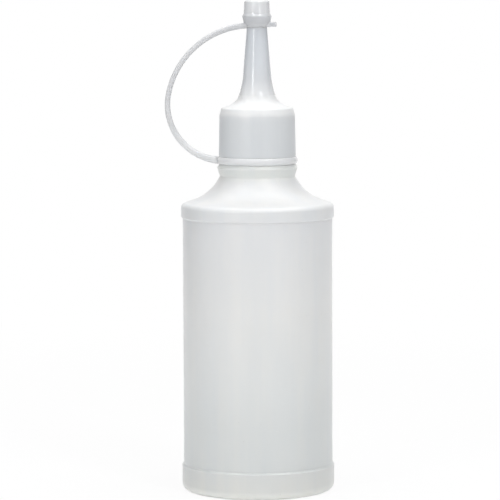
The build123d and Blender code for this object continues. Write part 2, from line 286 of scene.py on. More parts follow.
footInner = bottleSizes["bandRadius"] - bottleSizes["heelRounding"] - bottleSizes["footWidth"]


# Corners from the middle of the base up the outside and down the inside, as (r, z, rounding)
def bottleOutline(b):
    collarZ = ledgeZ - b["ledgeRise"]
    domeRadius = (footInner**2 + b["pushUp"] ** 2) / (2 * b["pushUp"])
    domeCorner = domeRadius * b["pushUp"] / footInner
    domeRounding = domeRadius * b["domeShare"]       # leaves room for the foot's own rounding
    inner = b["bodyRadius"] - b["wall"]
    shoulder, collar = (b["bandRadius"], b["shoulderZ"]), (b["collarRadius"], collarZ)
    low, high = b["lowSlope"], b["highSlope"]
    innerShoulder = inwards(shoulder, low, b["wall"])
    innerCollar = inwards(collar, high, b["wall"])
    edge, band = b["bandEdge"], b["shoulderZ"] - b["shoulderBand"]
    throat = b["collarRadius"] - b["collarWall"]
    return [
        (0, b["pushUp"], 0),
        (domeCorner, b["pushUp"], domeRounding),
        (footInner, 0, 0.6),
        (b["bandRadius"], 0, b["heelRounding"]),
        (b["bandRadius"], b["baseBand"] - edge, 0.2),
        (b["bodyRadius"], b["baseBand"] + edge, 0.35),
        (b["bodyRadius"], band - edge, 0.35),
        (b["bandRadius"], band + edge, 0.2),
        (*shoulder, b["shoulderRounding"]),
        (*meeting(shoulder, low, collar, high), b["coveRounding"]),
        (*collar, 0.5),
        (b["beadRadius"], collarZ + b["beadRise"], 0.45),
        (b["ledgeRadius"], ledgeZ, 0.15),
        (b["neckRadius"], ledgeZ, 0.4),
        (b["neckRadius"], bottleHigh.z, 0.4),
        (b["boreRadius"], bottleHigh.z, 0.4),
        (b["boreRadius"], ledgeZ, 1.0),
        (throat, ledgeZ - throat + b["boreRadius"], 0.8),
        (throat, innerCollar[1] + (innerCollar[0] - throat) * np.tan(np.radians(high)), 0.3),
        (*meeting(innerShoulder, low, innerCollar, high), b["coveRounding"] + b["wall"]),
        (inner, innerShoulder[1] - (inner - innerShoulder[0]) * np.tan(np.radians(low)), 1.0),
        (inner, b["wall"], 2.2),
        (footInner, b["wall"], 0.6),
        (domeCorner, b["pushUp"] + b["wall"], domeRounding),
        (0, b["pushUp"] + b["wall"], 0),
    ]


def onNeck(r, z):
    return (np.abs(r - bottleSizes["neckRadius"]) < slack) & (z > ledgeZ)


# The sum of strength * sin(number * angle + climb * height + phase) over the waves, moved and scaled by
# the sum of the strengths so that it lies between 0 and 2
def waveSum(a, z, waves):
    total = sum(wave[0] for wave in waves)
    swing = sum(strength * np.sin(number * a + climb * z + phase) for strength, number, climb, phase in waves)
    return (swing + total) / total


# Relief of the blown shell: waves that only sink the walls of the body and the shoulder; a fine ridge on
# the parting plane, where exp(-(y / width)^2) - 1 sinks all beside it; the pinched seam under the base,
# exp(-(y / width)^2) deep; and the neck's thread
def bottleRelief(a, r, z):
    b = bottleSizes
    y = r * np.sin(a)
    onBody = r > b["bodyRadius"] - 2 * b["wall"]
    body = onBody * softStep(z, *b["waveRise"]) * softStep(b["shoulderZ"] - z, *b["waveDrop"])
    shoulder = softStep(z - b["shoulderZ"], *b["rippleRise"]) * softStep(bottleHigh.z - z, *b["rippleDrop"])
    onTop = (z > b["shoulderZ"]) & (r > b["collarRadius"] - b["seamInset"])
    outside = (r > b["bodyRadius"] - b["wall"] / 2) | onTop
    seam = (np.exp(-((y / b["seamWidth"]) ** 2)) - 1) * outside * softStep(z, *b["seamFade"])
    underside = z < b["pushUp"] * (1 - (r / footInner) ** 2) + b["wall"] / 2
    pinch = np.exp(-((y / b["pinchWidth"]) ** 2)) * softStep(r, *b["pinchFade"]) * underside
    growR = b["seamHeight"] * seam - b["waveDepth"] * body * waveSum(a, z, b["waves"])
    growR = growR + onNeck(r, z) * threadHeight(a, z, neckThread)
    growZ = -b["rippleDepth"] * shoulder * waveSum(a, z, b["ripples"]) - b["pinchHeight"] * pinch
    return growR, growZ


def makeBottle(b):
    def longest(r, z):
        onShoulder = (z > b["shoulderZ"]) & (r > b["collarRadius"])
        places = [onNeck(r, z), onShoulder, r > b["wideFrom"]]
        return np.select(places, [b["neckStep"], b["shoulderStep"], b["wideStep"]], b["narrowStep"])

    fine = np.array(b["seamColumns"]) / b["bodyRadius"]
    return turnCorners("bottleShell", bottleOutline(b), b, longest, bottleRelief, fine)


# Sealing washer: a foam ring, dented where the mouth of the neck presses into it
washerSizes = {
    "bore": 9.2, "rounding": 0.2, "dent": 0.12, "dentWidth": 0.7,
    "arcStep": 18, "longest": 0.2, "hold": 0.08, "columns": 128,
}


def makeWasher(w):
    outer, low, high = washerHigh.x, washerLow.z, washerHigh.z
    middle = (bottleSizes["neckRadius"] + bottleSizes["boreRadius"]) / 2

    # exp(-((r - middle) / width)^4) deep, on the lower face alone
    def dent(a, r, z):
        near = np.exp(-(((r - middle) / w["dentWidth"]) ** 4)) * (z < low + slack)
        return 0, w["dent"] * near + 0 * a

    corners = [(w["bore"], low), (outer, low), (outer, high), (w["bore"], high)]
    return turnCorners("washerRing", [(*corner, w["rounding"]) for corner in corners], w, relief=dent)


# Nozzle cap: skirt with the ring's groove at its foot, bevelled crown, and a flared, tapered spout
capSizes = {
    "bore": 12.85, "lipRadius": 14.05, "lipHeight": 0.45, "grooveRadius": 13.75, "grooveTop": 2.5,
    "skirtRadius": capHigh.x, "skirtTopRadius": 14.3, "bevelHeight": 2.7, "crownRadius": 13.55,
    "roofRise": 1.2, "roofThickness": 1.5, "crownSlope": 20.0, "coveSlope": 70.0, "coveRounding": 5.6,
    "flareRadius": 7.09, "flareDrop": 25.87, "flareRounding": 31.0, "spoutFoot": 5.3, "spoutTop": 3.83,
    "spoutLength": 17.7, "noseLength": 8.0, "noseFoot": 3.05, "noseTip": 2.55, "orifice": 1.25,
    "spoutWall": 1.4, "wellRadius": 9.2, "throatRadius": 1.6, "throatDrop": 0.4, "throatRise": 0.3,
    "arcStep": 7, "hold": 0.08, "columns": 176, "threadStep": 0.25, "otherStep": 1.2,
}
capThread = {
    "pitch": 3.0, "turns": 1.5, "depth": -1.2, "rootWidth": 1.7, "crestWidth": 0.8, "startAngle": 60.0,
    "start": bottleHigh.z - 10.0, "fadeTurns": 0.06,
}
seatZ = capHigh.z - capSizes["noseLength"]           # where the tip cap sits on the spout


# Corners from the bore's foot up the outside to the orifice and down the inside, as (r, z, rounding)
def capOutline(c):
    footZ, roofZ = capLow.z, bottleHigh.z + c["roofRise"]
    crownZ = roofZ + c["roofThickness"]
    spoutFoot, spoutTop = (c["spoutFoot"], seatZ - c["spoutLength"]), (c["spoutTop"], seatZ)
    spoutSlope = 90 - np.degrees(np.arctan((spoutFoot[0] - spoutTop[0]) / c["spoutLength"]))
    flare, crown = (c["flareRadius"], seatZ - c["flareDrop"]), (c["crownRadius"], crownZ)
    innerFlare = inwards(flare, c["coveSlope"], c["spoutWall"])
    innerSpout = inwards(spoutFoot, spoutSlope, c["spoutWall"])
    grooveZ = footZ + c["grooveTop"]
    return [
        (c["bore"], footZ, 0.15),
        (c["lipRadius"], footZ, 0.12),
        (c["lipRadius"], footZ + c["lipHeight"], 0.1),
        (c["grooveRadius"], footZ + c["lipHeight"], 0.08),
        (c["grooveRadius"], grooveZ, 0.15),
        (c["skirtRadius"], grooveZ, 0.04),
        (c["skirtTopRadius"], crownZ - c["bevelHeight"], 2.2),
        (*crown, 0.7),
        (*meeting(crown, c["crownSlope"], flare, c["coveSlope"]), c["coveRounding"]),
        (*meeting(flare, c["coveSlope"], spoutFoot, spoutSlope), c["flareRounding"]),
        (*spoutTop, 0.25),
        (c["noseFoot"], seatZ, 0.12),
        (c["noseTip"], capHigh.z, 0.4),
        (c["orifice"], capHigh.z, 0.15),
        (c["orifice"], seatZ + c["throatRise"], 0.4),
        (c["throatRadius"], seatZ - c["throatDrop"], 0.4),
        (*meeting(innerFlare, c["coveSlope"], innerSpout, spoutSlope), c["flareRounding"]),
        (*innerFlare, 0.8),
        (c["wellRadius"], roofZ + c["spoutWall"], 0.5),
        (c["wellRadius"], roofZ, 0.2),
        (c["bore"], roofZ, 0.3),
    ]


def inBore(r, z):
    return (np.abs(r - capSizes["bore"]) < slack) & (z < bottleHigh.z)


def capRelief(a, r, z):
    return inBore(r, z) * threadHeight(a, z, capThread), 0 * a


def makeNozzleCap(c):
    def longest(r, z):
        return np.where(inBore(r, z), c["threadStep"], c["otherStep"])

    return turnCorners("nozzleCapShell", capOutline(c), c, longest, capRelief)


# Tether ring: a band with a bulged outside, which turns in the groove behind the lip
ringSizes = {
    "edgeRadius": 14.7, "topRadius": 14.62, "bore": 13.85, "recess": 14.15, "recessHeight": 0.75, "drop": 0.2,
    "bulgeShare": 0.97, "arcStep": 9, "longest": 0.5, "hold": 0.05, "columns": 192,
}


# The bulge is an arc over the band's height, of radius (half height^2 + bulge^2) / (2 * bulge)
def makeRing(s):
    low, high = ringLow.z - s["drop"], ringHigh.z
    half, bulge = (high - low) / 2, ringHigh.x - s["edgeRadius"]
    rounding = (half**2 + bulge**2) / (2 * bulge)
    peak = s["edgeRadius"] + half * np.tan(np.arcsin(half / rounding))
    corners = [
        (s["edgeRadius"], low, 0.1),
        (peak, (low + high) / 2, rounding * s["bulgeShare"]),
        (s["topRadius"], high, 0.04),
        (s["bore"], high, 0.12),
        (s["bore"], low + s["recessHeight"], 0.08),
        (s["recess"], low + s["recessHeight"], 0.08),
        (s["recess"], low, 0.12),
    ]
    return turnCorners("tetherRing", corners, s)


# Tip cap: a rounded thimble with a bead and a ledge, a socket for the nose and a pin for its orifice
tipSizes = {
    "ledgeDrop": 5.0, "topRadius": 4.73, "topRounding": 0.9, "ledgeRadius": 5.03, "beadRadius": 5.53,
    "beadDrop": 5.9, "beadEdge": 0.3, "bowlRadius": 5.13, "bowlRise": 2.2, "footRadius": 3.83,
    "footRise": 0.45, "socketFoot": 3.13, "socketTop": 2.59, "roof": 1.7, "pinRadius": 1.1, "pinLength": 2.2,
    "gateRadius": 0.75, "gateDepth": 0.12, "gateFlare": 0.15, "bowlSide": 0.75, "bowlFoot": 0.55,
    "arcStep": 12, "longest": 0.6, "hold": 0.05, "columns": 128,
}


# Corners from the gate mark on top down the outside and up into the socket, as (r, z, rounding)
def makeTipCap(t):
    top, roofZ = tipHigh.z, tipHigh.z - t["roof"]
    corners = [
        (0, top - t["gateDepth"], 0),
        (t["gateRadius"], top - t["gateDepth"], 0.08),
        (t["gateRadius"] + t["gateFlare"], top, 0.08),
        (t["topRadius"], top, t["topRounding"]),
        (t["ledgeRadius"], top - t["ledgeDrop"], 0.2),
        (t["beadRadius"], top - t["beadDrop"], 0.12),
        (t["beadRadius"], top - t["beadDrop"] - t["beadEdge"], 0.12),
        (t["bowlRadius"], seatZ + t["bowlRise"], 0.8),
        (t["footRadius"] + t["bowlSide"], seatZ + t["footRise"] + t["bowlFoot"], 0.8),
        (t["footRadius"], seatZ + t["footRise"], 0.25),
        (t["footRadius"], seatZ, 0.1),
        (t["socketFoot"], seatZ, 0.1),
        (t["socketTop"], roofZ, 0.3),
        (t["pinRadius"], roofZ, 0.15),
        (t["pinRadius"], roofZ - t["pinLength"], 0.3),
        (0, roofZ - t["pinLength"], 0),
    ]
    return turnCorners("tipCapShell", corners, t)


# Columns of a rounded section: the corner circle's centre, in each quarter, plus the circle itself
def sectionColumns(perQuarter):
    quarter = np.repeat(np.arange(4), perQuarter)
    share = np.tile(np.linspace(0, 1, perQuarter), 4)
    angle = (quarter + share) * np.pi / 2
    middle = (quarter + 0.5) * np.pi / 2
    return np.sign(np.cos(middle)), np.sign(np.sin(middle)), np.cos(angle), np.sin(angle)


# A bar carried along a path. At each station the section is a rounded rectangle of half width w (along y)
# and half thickness h (along the path's normal) with corner radius c:
# point = path + y * (side * (w - c) + c * cos) + normal * (rise * (h - c) + c * sin).
def barGrid(path, normal, halfWidth, halfThick, corner, perQuarter):
    side, rise, cos, sin = sectionColumns(perQuarter)
    w, h, c = (np.asarray(v, float)[:, None] for v in (halfWidth, halfThick, corner))
    across = side * (w - c) + c * cos
    along = rise * (h - c) + c * sin
    x = path[:, :1] + normal[:, :1] * along
    z = path[:, 1:2] + normal[:, 1:2] * along
    return np.stack([x, across + 0 * x, z], axis=-1)


# Closes both ends of a bar with a row of one point at the middle of the end section
def closeEnds(grid):
    first = np.repeat(grid[:1].mean(axis=1, keepdims=True), grid.shape[1], axis=1)
    last = np.repeat(grid[-1:].mean(axis=1, keepdims=True), grid.shape[1], axis=1)
    return np.concatenate([first, grid, last])


# Lift tab: a flat tongue on the right of the tip cap, its outer corners rounded in plan
tabSizes = {
    "rootX": 3.5, "halfWidth": 2.2, "halfThick": 0.9, "middleRise": 1.2, "cornerRadius": 0.9,
    "edgeRadius": 0.35, "rootFlare": 0.35, "flareLength": 0.7, "flareDepth": 0.6, "flareThick": 1 / 3,
    "cornerShare": 0.9, "stations": 40, "perQuarter": 6,
}


# How far x is into a rounded corner that ends at endX, from 0 to 1, and what the corner takes off there,
# radius * (1 - sqrt(1 - past^2))
def cornerCut(x, endX, radius):
    past = np.clip((x - endX + radius) / radius, 0, 1)
    return past, radius * (1 - np.sqrt(np.maximum(1 - past**2, 0)))


def makeTab(t):
    endX, bowl = tipHigh.x, tipSizes["bowlRadius"]
    share = np.sin(np.linspace(0, np.pi / 2, t["stations"]))
    x = t["rootX"] + (endX - t["rootX"]) * share
    past, cornerLoss = cornerCut(x, endX, t["cornerRadius"])
    edgeLoss = cornerCut(x, endX, t["edgeRadius"])[1]
    flare = t["rootFlare"] * softStep(x, bowl + t["flareLength"], bowl - t["flareDepth"])
    path = np.column_stack([x, np.full_like(x, seatZ + t["middleRise"])])
    normal = np.tile([0.0, 1.0], (len(x), 1))
    halfThick = t["halfThick"] - edgeLoss + flare * t["flareThick"]
    halfWidth = t["halfWidth"] - cornerLoss + flare
    corner = np.minimum(t["edgeRadius"], halfThick * t["cornerShare"])
    grid = closeEnds(barGrid(path, normal, halfWidth, halfThick, corner, t["perQuarter"]))
    sharp = np.repeat(past[:, None], grid.shape[1], axis=1)
    sharp = np.vstack([sharp[:1], sharp, sharp[-1:]])
    return gridObject("liftTab", grid, False, (0, len(grid) - 1), sharp)


# Tether strap: a rounded bar on two tangent arcs, from inside the ring up round the left and into the
# bowl of the tip cap. Its thickness grows evenly from the cap to the ring, and it widens at both roots.
# seatFade is the heights over the seat between which its root draws back from the spout.
strapSizes = {
    "halfWidth": 1.7, "capThick": 2.2, "ringThick": 2.7, "edgeRadius": 0.9, "armRise": 0.6,
    "capSlope": 7.0, "ringSlope": 8.8, "capReach": 23.0, "capRoot": 1.7, "ringRoot": 1.35,
    "rootFlare": 0.35, "flareLength": 1.6, "flareDepth": 0.6, "rootRadius": 3.7, "spoutClear": 4.1,
    "seatFade": (0.2, -0.1), "stations": 120, "rootStations": 12, "perQuarter": 9,
}


# Points of an arc that leaves start along heading, in radians, and turns evenly by bend a millimetre
def arcPoints(start, heading, length, bend, count):
    turned = heading + bend * np.linspace(0, length, count)
    way = np.column_stack([np.sin(turned) - np.sin(heading), np.cos(heading) - np.cos(turned)])
    return start + way / bend


# Two tangent arcs from start to finish, which they leave and reach along given directions. With the first
# arc's tangent length reach, the second's is (span.span / 2 - reach span.a) / (span.b - reach (a.b - 1)).
def biarcPoints(start, startWay, finish, finishWay, reach, count):
    span = finish - start
    rest = span @ finishWay - reach * (startWay @ finishWay - 1)
    other = (span @ span / 2 - reach * (span @ startWay)) / rest
    joint = ((start + startWay * reach) * other + (finish - finishWay * other) * reach) / (reach + other)
    heading, parts = np.arctan2(startWay[1], startWay[0]), []
    for a, b in ((start, joint), (joint, finish)):
        chord = b - a
        turn = 2 * (np.arctan2(chord[1], chord[0]) - heading)
        turn = (turn + np.pi) % (2 * np.pi) - np.pi
        length = np.hypot(*chord) * (turn / 2) / np.sin(turn / 2)
        parts.append(arcPoints(a, heading, length, turn / length, count))
        heading += turn
    return np.vstack([parts[0], parts[1][1:]])


def makeStrap(s):
    capAngle, ringAngle = np.radians(s["capSlope"]), np.radians(s["ringSlope"])
    startWay = np.array([-np.cos(capAngle), -np.sin(capAngle)])
    finishWay = np.array([np.cos(ringAngle), -np.sin(ringAngle)])
    rootSteps = np.linspace(s["capRoot"], 0, s["rootStations"], endpoint=False)[:, None]

    def side(sign):
        half = sign * s["capThick"] / 2
        start = np.array([strapHigh.x, seatZ + s["armRise"] + half])
        finish = np.array([ringLow.x, (ringLow.z + ringHigh.z) / 2 - sign * s["ringThick"] / 2])
        arcs = biarcPoints(start, startWay, finish, finishWay, s["capReach"] + half, s["stations"])
        return np.vstack([start - startWay * rootSteps, arcs, finish + finishWay * s["ringRoot"]])

    outer, inner = side(1), side(-1)
    path, across = (outer + inner) / 2, outer - inner
    thick = np.hypot(across[:, 0], across[:, 1])
    arc = np.concatenate([[0], np.cumsum(np.hypot(*np.diff(path, axis=0).T))])
    fromCap, fromRing = arc - s["capRoot"], arc[-1] - s["ringRoot"] - arc
    roots = sum(softStep(away, s["flareLength"], -s["flareDepth"]) for away in (fromCap, fromRing))
    halfWidth = s["halfWidth"] + s["rootFlare"] * roots
    corner = np.minimum(s["edgeRadius"], thick / 2 - slack)
    grid = barGrid(path, across / thick[:, None], halfWidth, thick / 2, corner, s["perQuarter"])
    # The root ends on a round face: clear of the spout below the seat, inside the bowl above it
    clear = softStep(grid[0, :, 2] - seatZ, *s["seatFade"])
    reach = s["rootRadius"] + (s["spoutClear"] - s["rootRadius"]) * clear
    endX = -np.sqrt(reach**2 - grid[0, :, 1] ** 2)
    pull = softStep(arc, s["capRoot"], 0)[:, None]
    grid[:, :, 0] += pull * (endX - grid[0, :, 0])
    grid = closeEnds(grid)
    print("strap", round(arc[-1], 1), "mm long, left side at", round(grid[:, :, 0].min(), 2))
    return gridObject("tetherStrap", grid, False, (0, len(grid) - 1), np.zeros(grid.shape[:2]))


bottleShell = makeBottle(bottleSizes)
washerRing = makeWasher(washerSizes)
nozzleCapShell = makeNozzleCap(capSizes)
tetherRing = makeRing(ringSizes)
tipCapShell = makeTipCap(tipSizes)
liftTab = makeTab(tabSizes)
tetherStrap = makeStrap(strapSizes)
print("surfaces made")


# Links or fills the inputs of a node
def fillInputs(tree, node, inputs):
    for name, value in inputs.items():
        if isinstance(value, bpy.types.NodeSocket):
            tree.links.new(value, node.inputs[name])
        else:
            node.inputs[name].default_value = value


# Makes a node in a tree, sets its fields and fills its inputs
def addNode(tree, kind, inputs=None, **fields):
    node = tree.nodes.new(kind)
    for field, value in fields.items():
        setattr(node, field, value)
    fillInputs(tree, node, inputs or {})
    return node


# Node group whose inputs and outputs are names with their kinds: Vector, Color or Float
def startGroup(name, inputs, outputs):
    group = bpy.data.node_groups.new(name, "ShaderNodeTree")
    for sockets, way in ((inputs, "INPUT"), (outputs, "OUTPUT")):
        for socket, kind in sockets.items():
            group.interface.new_socket(name=socket, in_out=way, socket_type="NodeSocket" + kind)
    return group, addNode(group, "NodeGroupInput").outputs


def endGroup(group, results):
    addNode(group, "NodeGroupOutput", results)
    return group


def useGroup(tree, group, inputs):
    return addNode(tree, "ShaderNodeGroup", inputs, node_tree=group).outputs


def mathNode(tree, operation, *values, clamp=False):
    inputs = dict(enumerate(values))
    return addNode(tree, "ShaderNodeMath", inputs, operation=operation, use_clamp=clamp).outputs[0]


def noiseNode(tree, vector, scale, detail=2.0, roughness=0.5):
    inputs = {"Vector": vector, "Scale": scale, "Detail": detail, "Roughness": roughness}
    return addNode(tree, "ShaderNodeTexNoise", inputs).outputs["Fac"]


def stretchNode(tree, vector, scale):
    return addNode(tree, "ShaderNodeMapping", {"Vector": vector, "Scale": scale}).outputs["Vector"]


def heightNode(tree, vector):
    return addNode(tree, "ShaderNodeSeparateXYZ", {0: vector}).outputs["Z"]


def rampNode(tree, value, low, high, toLow=0.0, toHigh=1.0):
    inputs = {"Value": value, "From Min": low, "From Max": high, "To Min": toLow, "To Max": toHigh}
    return addNode(tree, "ShaderNodeMapRange", inputs, interpolation_type="SMOOTHSTEP").outputs["Result"]


def cellNode(tree, vector, scale):
    return addNode(tree, "ShaderNodeTexVoronoi", {"Vector": vector, "Scale": scale}).outputs["Distance"]


# Mask from a noise, over stretched coordinates where stretch is given, from 0 to 1 between its limits
def maskNode(tree, vector, scale, detail, limits, roughness=0.5, stretch=None):
    if stretch:
        vector = stretchNode(tree, vector, stretch)
    return rampNode(tree, noiseNode(tree, vector, scale, detail, roughness), *limits)


# The Mix node's colours are its inputs 6 and 7, and its output 2
def mixColour(tree, share, first, second, blend="MIX"):
    inputs = {0: share, 6: first, 7: second}
    return addNode(tree, "ShaderNodeMix", inputs, data_type="RGBA", blend_type=blend).outputs[2]


# Clouding of the melt: broad soft noise, and streaks along the flow, shift the tint from thick to thin
cloudMasks = {
    "broad": {"detail": 3, "roughness": 0.55, "limits": (0.32, 0.68), "stretch": (1.6, 1.6, 0.4)},
    "streaks": {"detail": 4, "roughness": 0.6, "limits": (0.35, 0.75), "stretch": (6, 6, 0.25)},
}
cloudShares = {"broad": 0.6, "streaks": 0.4}


def makeCloudGroup():
    group, given = startGroup(
        "meltClouding", {"Vector": "Vector", "Thick": "Color", "Thin": "Color", "Size": "Float"},
        {"Color": "Color", "Cloud": "Float"})
    vector, size = given["Vector"], given["Size"]
    masks = {name: maskNode(group, vector, size, **mask) for name, mask in cloudMasks.items()}
    cloud = mathNode(group, "MULTIPLY", masks["broad"], cloudShares["broad"])
    cloud = mathNode(group, "MULTIPLY_ADD", masks["streaks"], cloudShares["streaks"], cloud)
    tint = mixColour(group, cloud, given["Thick"], given["Thin"])
    return endGroup(group, {"Color": tint, "Cloud": cloud})


# Wear: short scuffs from two stretched noises, in patches; dust on a few cells of a Voronoi distance; and
# rubbed edges where the outline's sharpness and a noise are both high
wearMasks = {
    "around": {"scale": 190, "detail": 5, "roughness": 0.7, "limits": (0.66, 0.76), "stretch": (1, 1, 14)},
    "along": {"scale": 120, "detail": 5, "roughness": 0.7, "limits": (0.68, 0.78), "stretch": (9, 9, 1)},
    "patches": {"scale": 45, "detail": 1, "limits": (0.45, 0.62)},
    "dusty": {"scale": 700, "detail": 0, "limits": (0.6, 0.66)},
    "worn": {"scale": 260, "detail": 4, "roughness": 0.65, "limits": (0.4, 0.62)},
}
dustSpecks = {"scale": 420, "limits": (0.09, 0.05)}


def makeWearGroup():
    group, given = startGroup(
        "surfaceWear", {"Vector": "Vector", "Edge": "Float"},
        {"Scuff": "Float", "Dust": "Float", "Rub": "Float"})
    masks = {name: maskNode(group, given["Vector"], **mask) for name, mask in wearMasks.items()}
    scuff = mathNode(group, "MAXIMUM", masks["around"], masks["along"])
    scuff = mathNode(group, "MULTIPLY", scuff, masks["patches"])
    specks = rampNode(group, cellNode(group, given["Vector"], dustSpecks["scale"]), *dustSpecks["limits"])
    dust = mathNode(group, "MULTIPLY", specks, masks["dusty"])
    rub = mathNode(group, "MULTIPLY", given["Edge"], masks["worn"])
    return endGroup(group, {"Scuff": scuff, "Dust": dust, "Rub": rub})


# Skin of a moulding: orange peel, lines that the mould draws along the axis, and sunk scuffs, as the
# normal of one height
skinShape = {
    "peelScale": 520.0, "lineStretch": (1.0, 1.0, 0.02), "lineScale": 760.0, "lineDetail": 3.0,
    "lineRoughness": 0.6, "scuffHeight": -0.6, "bumpDistance": 0.00002,
}


def makeSkinGroup(shape):
    group, given = startGroup(
        "mouldedSkin", {"Vector": "Vector", "Peel": "Float", "Lines": "Float", "Scuff": "Float"},
        {"Normal": "Vector"})
    peel = mathNode(group, "MULTIPLY", noiseNode(group, given["Vector"], shape["peelScale"]), given["Peel"])
    drawn = stretchNode(group, given["Vector"], shape["lineStretch"])
    lines = noiseNode(group, drawn, shape["lineScale"], shape["lineDetail"], shape["lineRoughness"])
    height = mathNode(group, "MULTIPLY_ADD", lines, given["Lines"], peel)
    height = mathNode(group, "MULTIPLY_ADD", given["Scuff"], shape["scuffHeight"], height)
    bump = addNode(group, "ShaderNodeBump", {
        "Height": height, "Strength": 1.0, "Distance": shape["bumpDistance"]})
    return endGroup(group, {"Normal": bump.outputs["Normal"]})


cloudGroup = makeCloudGroup()
wearGroup = makeWearGroup()
skinGroup = makeSkinGroup(skinShape)


# Multiplies a colour by a tint that runs through stops, each a height in millimetres and a colour; in the
# looks the stops carry painted light and shade as well as tints. Where wander is given, as millimetres and a
# noise scale, the height moves by up to that much either way, so that the stops don't draw level lines.
def tintByHeight(tree, vector, colour, stops, wander):
    height = heightNode(tree, vector)
    if wander:
        noise = mathNode(tree, "SUBTRACT", noiseNode(tree, vector, wander[1]), 0.5)
        height = mathNode(tree, "MULTIPLY_ADD", noise, 2 * wander[0] * mm, height)
    low, high = stops[0][0], stops[-1][0]
    inputs = {"Value": height, "From Min": low * mm, "From Max": high * mm}
    along = addNode(tree, "ShaderNodeMapRange", inputs).outputs["Result"]
    ramp = addNode(tree, "ShaderNodeValToRGB", {0: along})
    elements = ramp.color_ramp.elements
    while len(elements) < len(stops):
        elements.new(0.5)
    for element, (place, tint) in zip(elements, stops):
        element.position = (place - low) / (high - low)
        element.color = (*tint, 1)
    return mixColour(tree, 1.0, colour, ramp.outputs["Color"], "MULTIPLY")


# A new material with its tree, its shader and the Object coordinates
def startMaterial(name):
    material = bpy.data.materials.new(name)
    material.use_nodes = True
    tree = material.node_tree
    vector = addNode(tree, "ShaderNodeTexCoord").outputs["Object"]
    return material, tree, tree.nodes["Principled BSDF"], vector


# Polyethylene: clouded tint, tints with painted light and shade by height, scuffs and rubbed edges that are
# paler and rougher, dust, and a soft gloss
def makePolyethylene(name, look):
    material, tree, shader, vector = startMaterial(name)
    edge = addNode(tree, "ShaderNodeAttribute", attribute_name="edge").outputs["Fac"]
    cloud = useGroup(tree, cloudGroup, {
        "Vector": vector, "Thick": look["thick"], "Thin": look["thin"], "Size": look["cloudSize"]})
    wear = useGroup(tree, wearGroup, {"Vector": vector, "Edge": edge})
    skin = useGroup(tree, skinGroup, {
        "Vector": vector, "Peel": look["peel"], "Lines": look["lines"], "Scuff": wear["Scuff"]})
    # The stops by height bring in painted light and shade along with the tints
    colour = tintByHeight(tree, vector, cloud["Color"], look["tintsAndPaintedLight"], look["wander"])
    for mark, share, paint in (
        ("Scuff", look["scuff"], look["scuffed"]), ("Rub", look["rub"], look["scuffed"]),
        ("Dust", look["dust"], look["dusty"]),
    ):
        colour = mixColour(tree, mathNode(tree, "MULTIPLY", wear[mark], share), colour, paint)
    rough = mathNode(tree, "MULTIPLY_ADD", cloud["Cloud"], look["roughSpread"], look["rough"])
    rough = mathNode(tree, "MULTIPLY_ADD", wear["Scuff"], look["scuffRough"], rough)
    rough = mathNode(tree, "MULTIPLY_ADD", wear["Rub"], look["rubRough"], rough)
    if look["matt"]:
        low, high, extra = look["matt"]
        matt = rampNode(tree, heightNode(tree, vector), low * mm, high * mm, extra, 0.0)
        rough = mathNode(tree, "ADD", matt, rough)
    fillInputs(tree, shader, {
        "Base Color": colour, "Roughness": rough, "Normal": skin["Normal"], "IOR": look["ior"],
        "Subsurface Weight": look["depth"], "Subsurface Radius": look["radius"],
        "Subsurface Scale": look["scatterScale"]})
    return material


# What all the polyethylene shares. A look may add matt, two heights and what is added to the roughness
# below them, and wander, as in tintByHeight.
polyethylene = {
    "ior": 1.51, "scatterScale": 0.001, "scuffRough": 0.18, "rubRough": 0.12, "dust": 0.25,
    "dusty": (0.42, 0.4, 0.37, 1), "matt": None, "wander": None,
}


# The bottle's tints by height are partly its colour: darker towards the base, warm on the base band, and
# slightly green on the neck. The rest is painted light and shade: a painted bounce of the floor that lightens
# the heel, a painted shadow line in the step over the base band, painted shade on the collar's bead under the
# ring, and a painted light band just under the ring that hides the shade in the gap there.
bottleLook = {
    **polyethylene, "thick": (0.805, 0.812, 0.808, 1), "thin": (0.765, 0.785, 0.80, 1), "cloudSize": 48.0,
    "peel": 0.35, "lines": 0.22, "scuff": 0.5, "rub": 0.5, "scuffed": (0.88, 0.88, 0.875, 1),
    "rough": 0.285, "roughSpread": 0.08, "depth": 0.35, "radius": (3.2, 3.4, 3.6),
    "tintsAndPaintedLight": [
        (0, (1.16, 1.16, 1.10)), (1.4, (1.04, 1.04, 0.99)), (3.2, (0.875, 0.875, 0.845)),
        (9.7, (0.835, 0.84, 0.825)), (10.1, (0.78, 0.80, 0.79)), (10.9, (0.845, 0.865, 0.86)),
        (26, (0.87, 0.89, 0.885)), (42, (0.93, 0.945, 0.94)), (70, (0.99, 0.99, 0.98)),
        (103.5, (0.965, 0.97, 0.985)), (104.5, (0.93, 0.935, 0.945)), (108.4, (0.93, 0.935, 0.94)),
        (110, (0.965, 0.965, 0.965)), (118, (0.965, 0.965, 0.965)),
        (119.9, (1.02, 1.03, 1.0)), (120.6, (0.985, 1.0, 0.97)), (122.2, (0.92, 0.935, 0.905)),
        (123.2, (0.91, 0.925, 0.90)), (123.9, (0.875, 0.885, 0.86)), (124.4, (1.13, 1.14, 1.12)),
        (125, (1.13, 1.14, 1.12)), (126, (0.92, 0.93, 0.905)), (143, (0.98, 0.98, 0.95)),
    ],
}
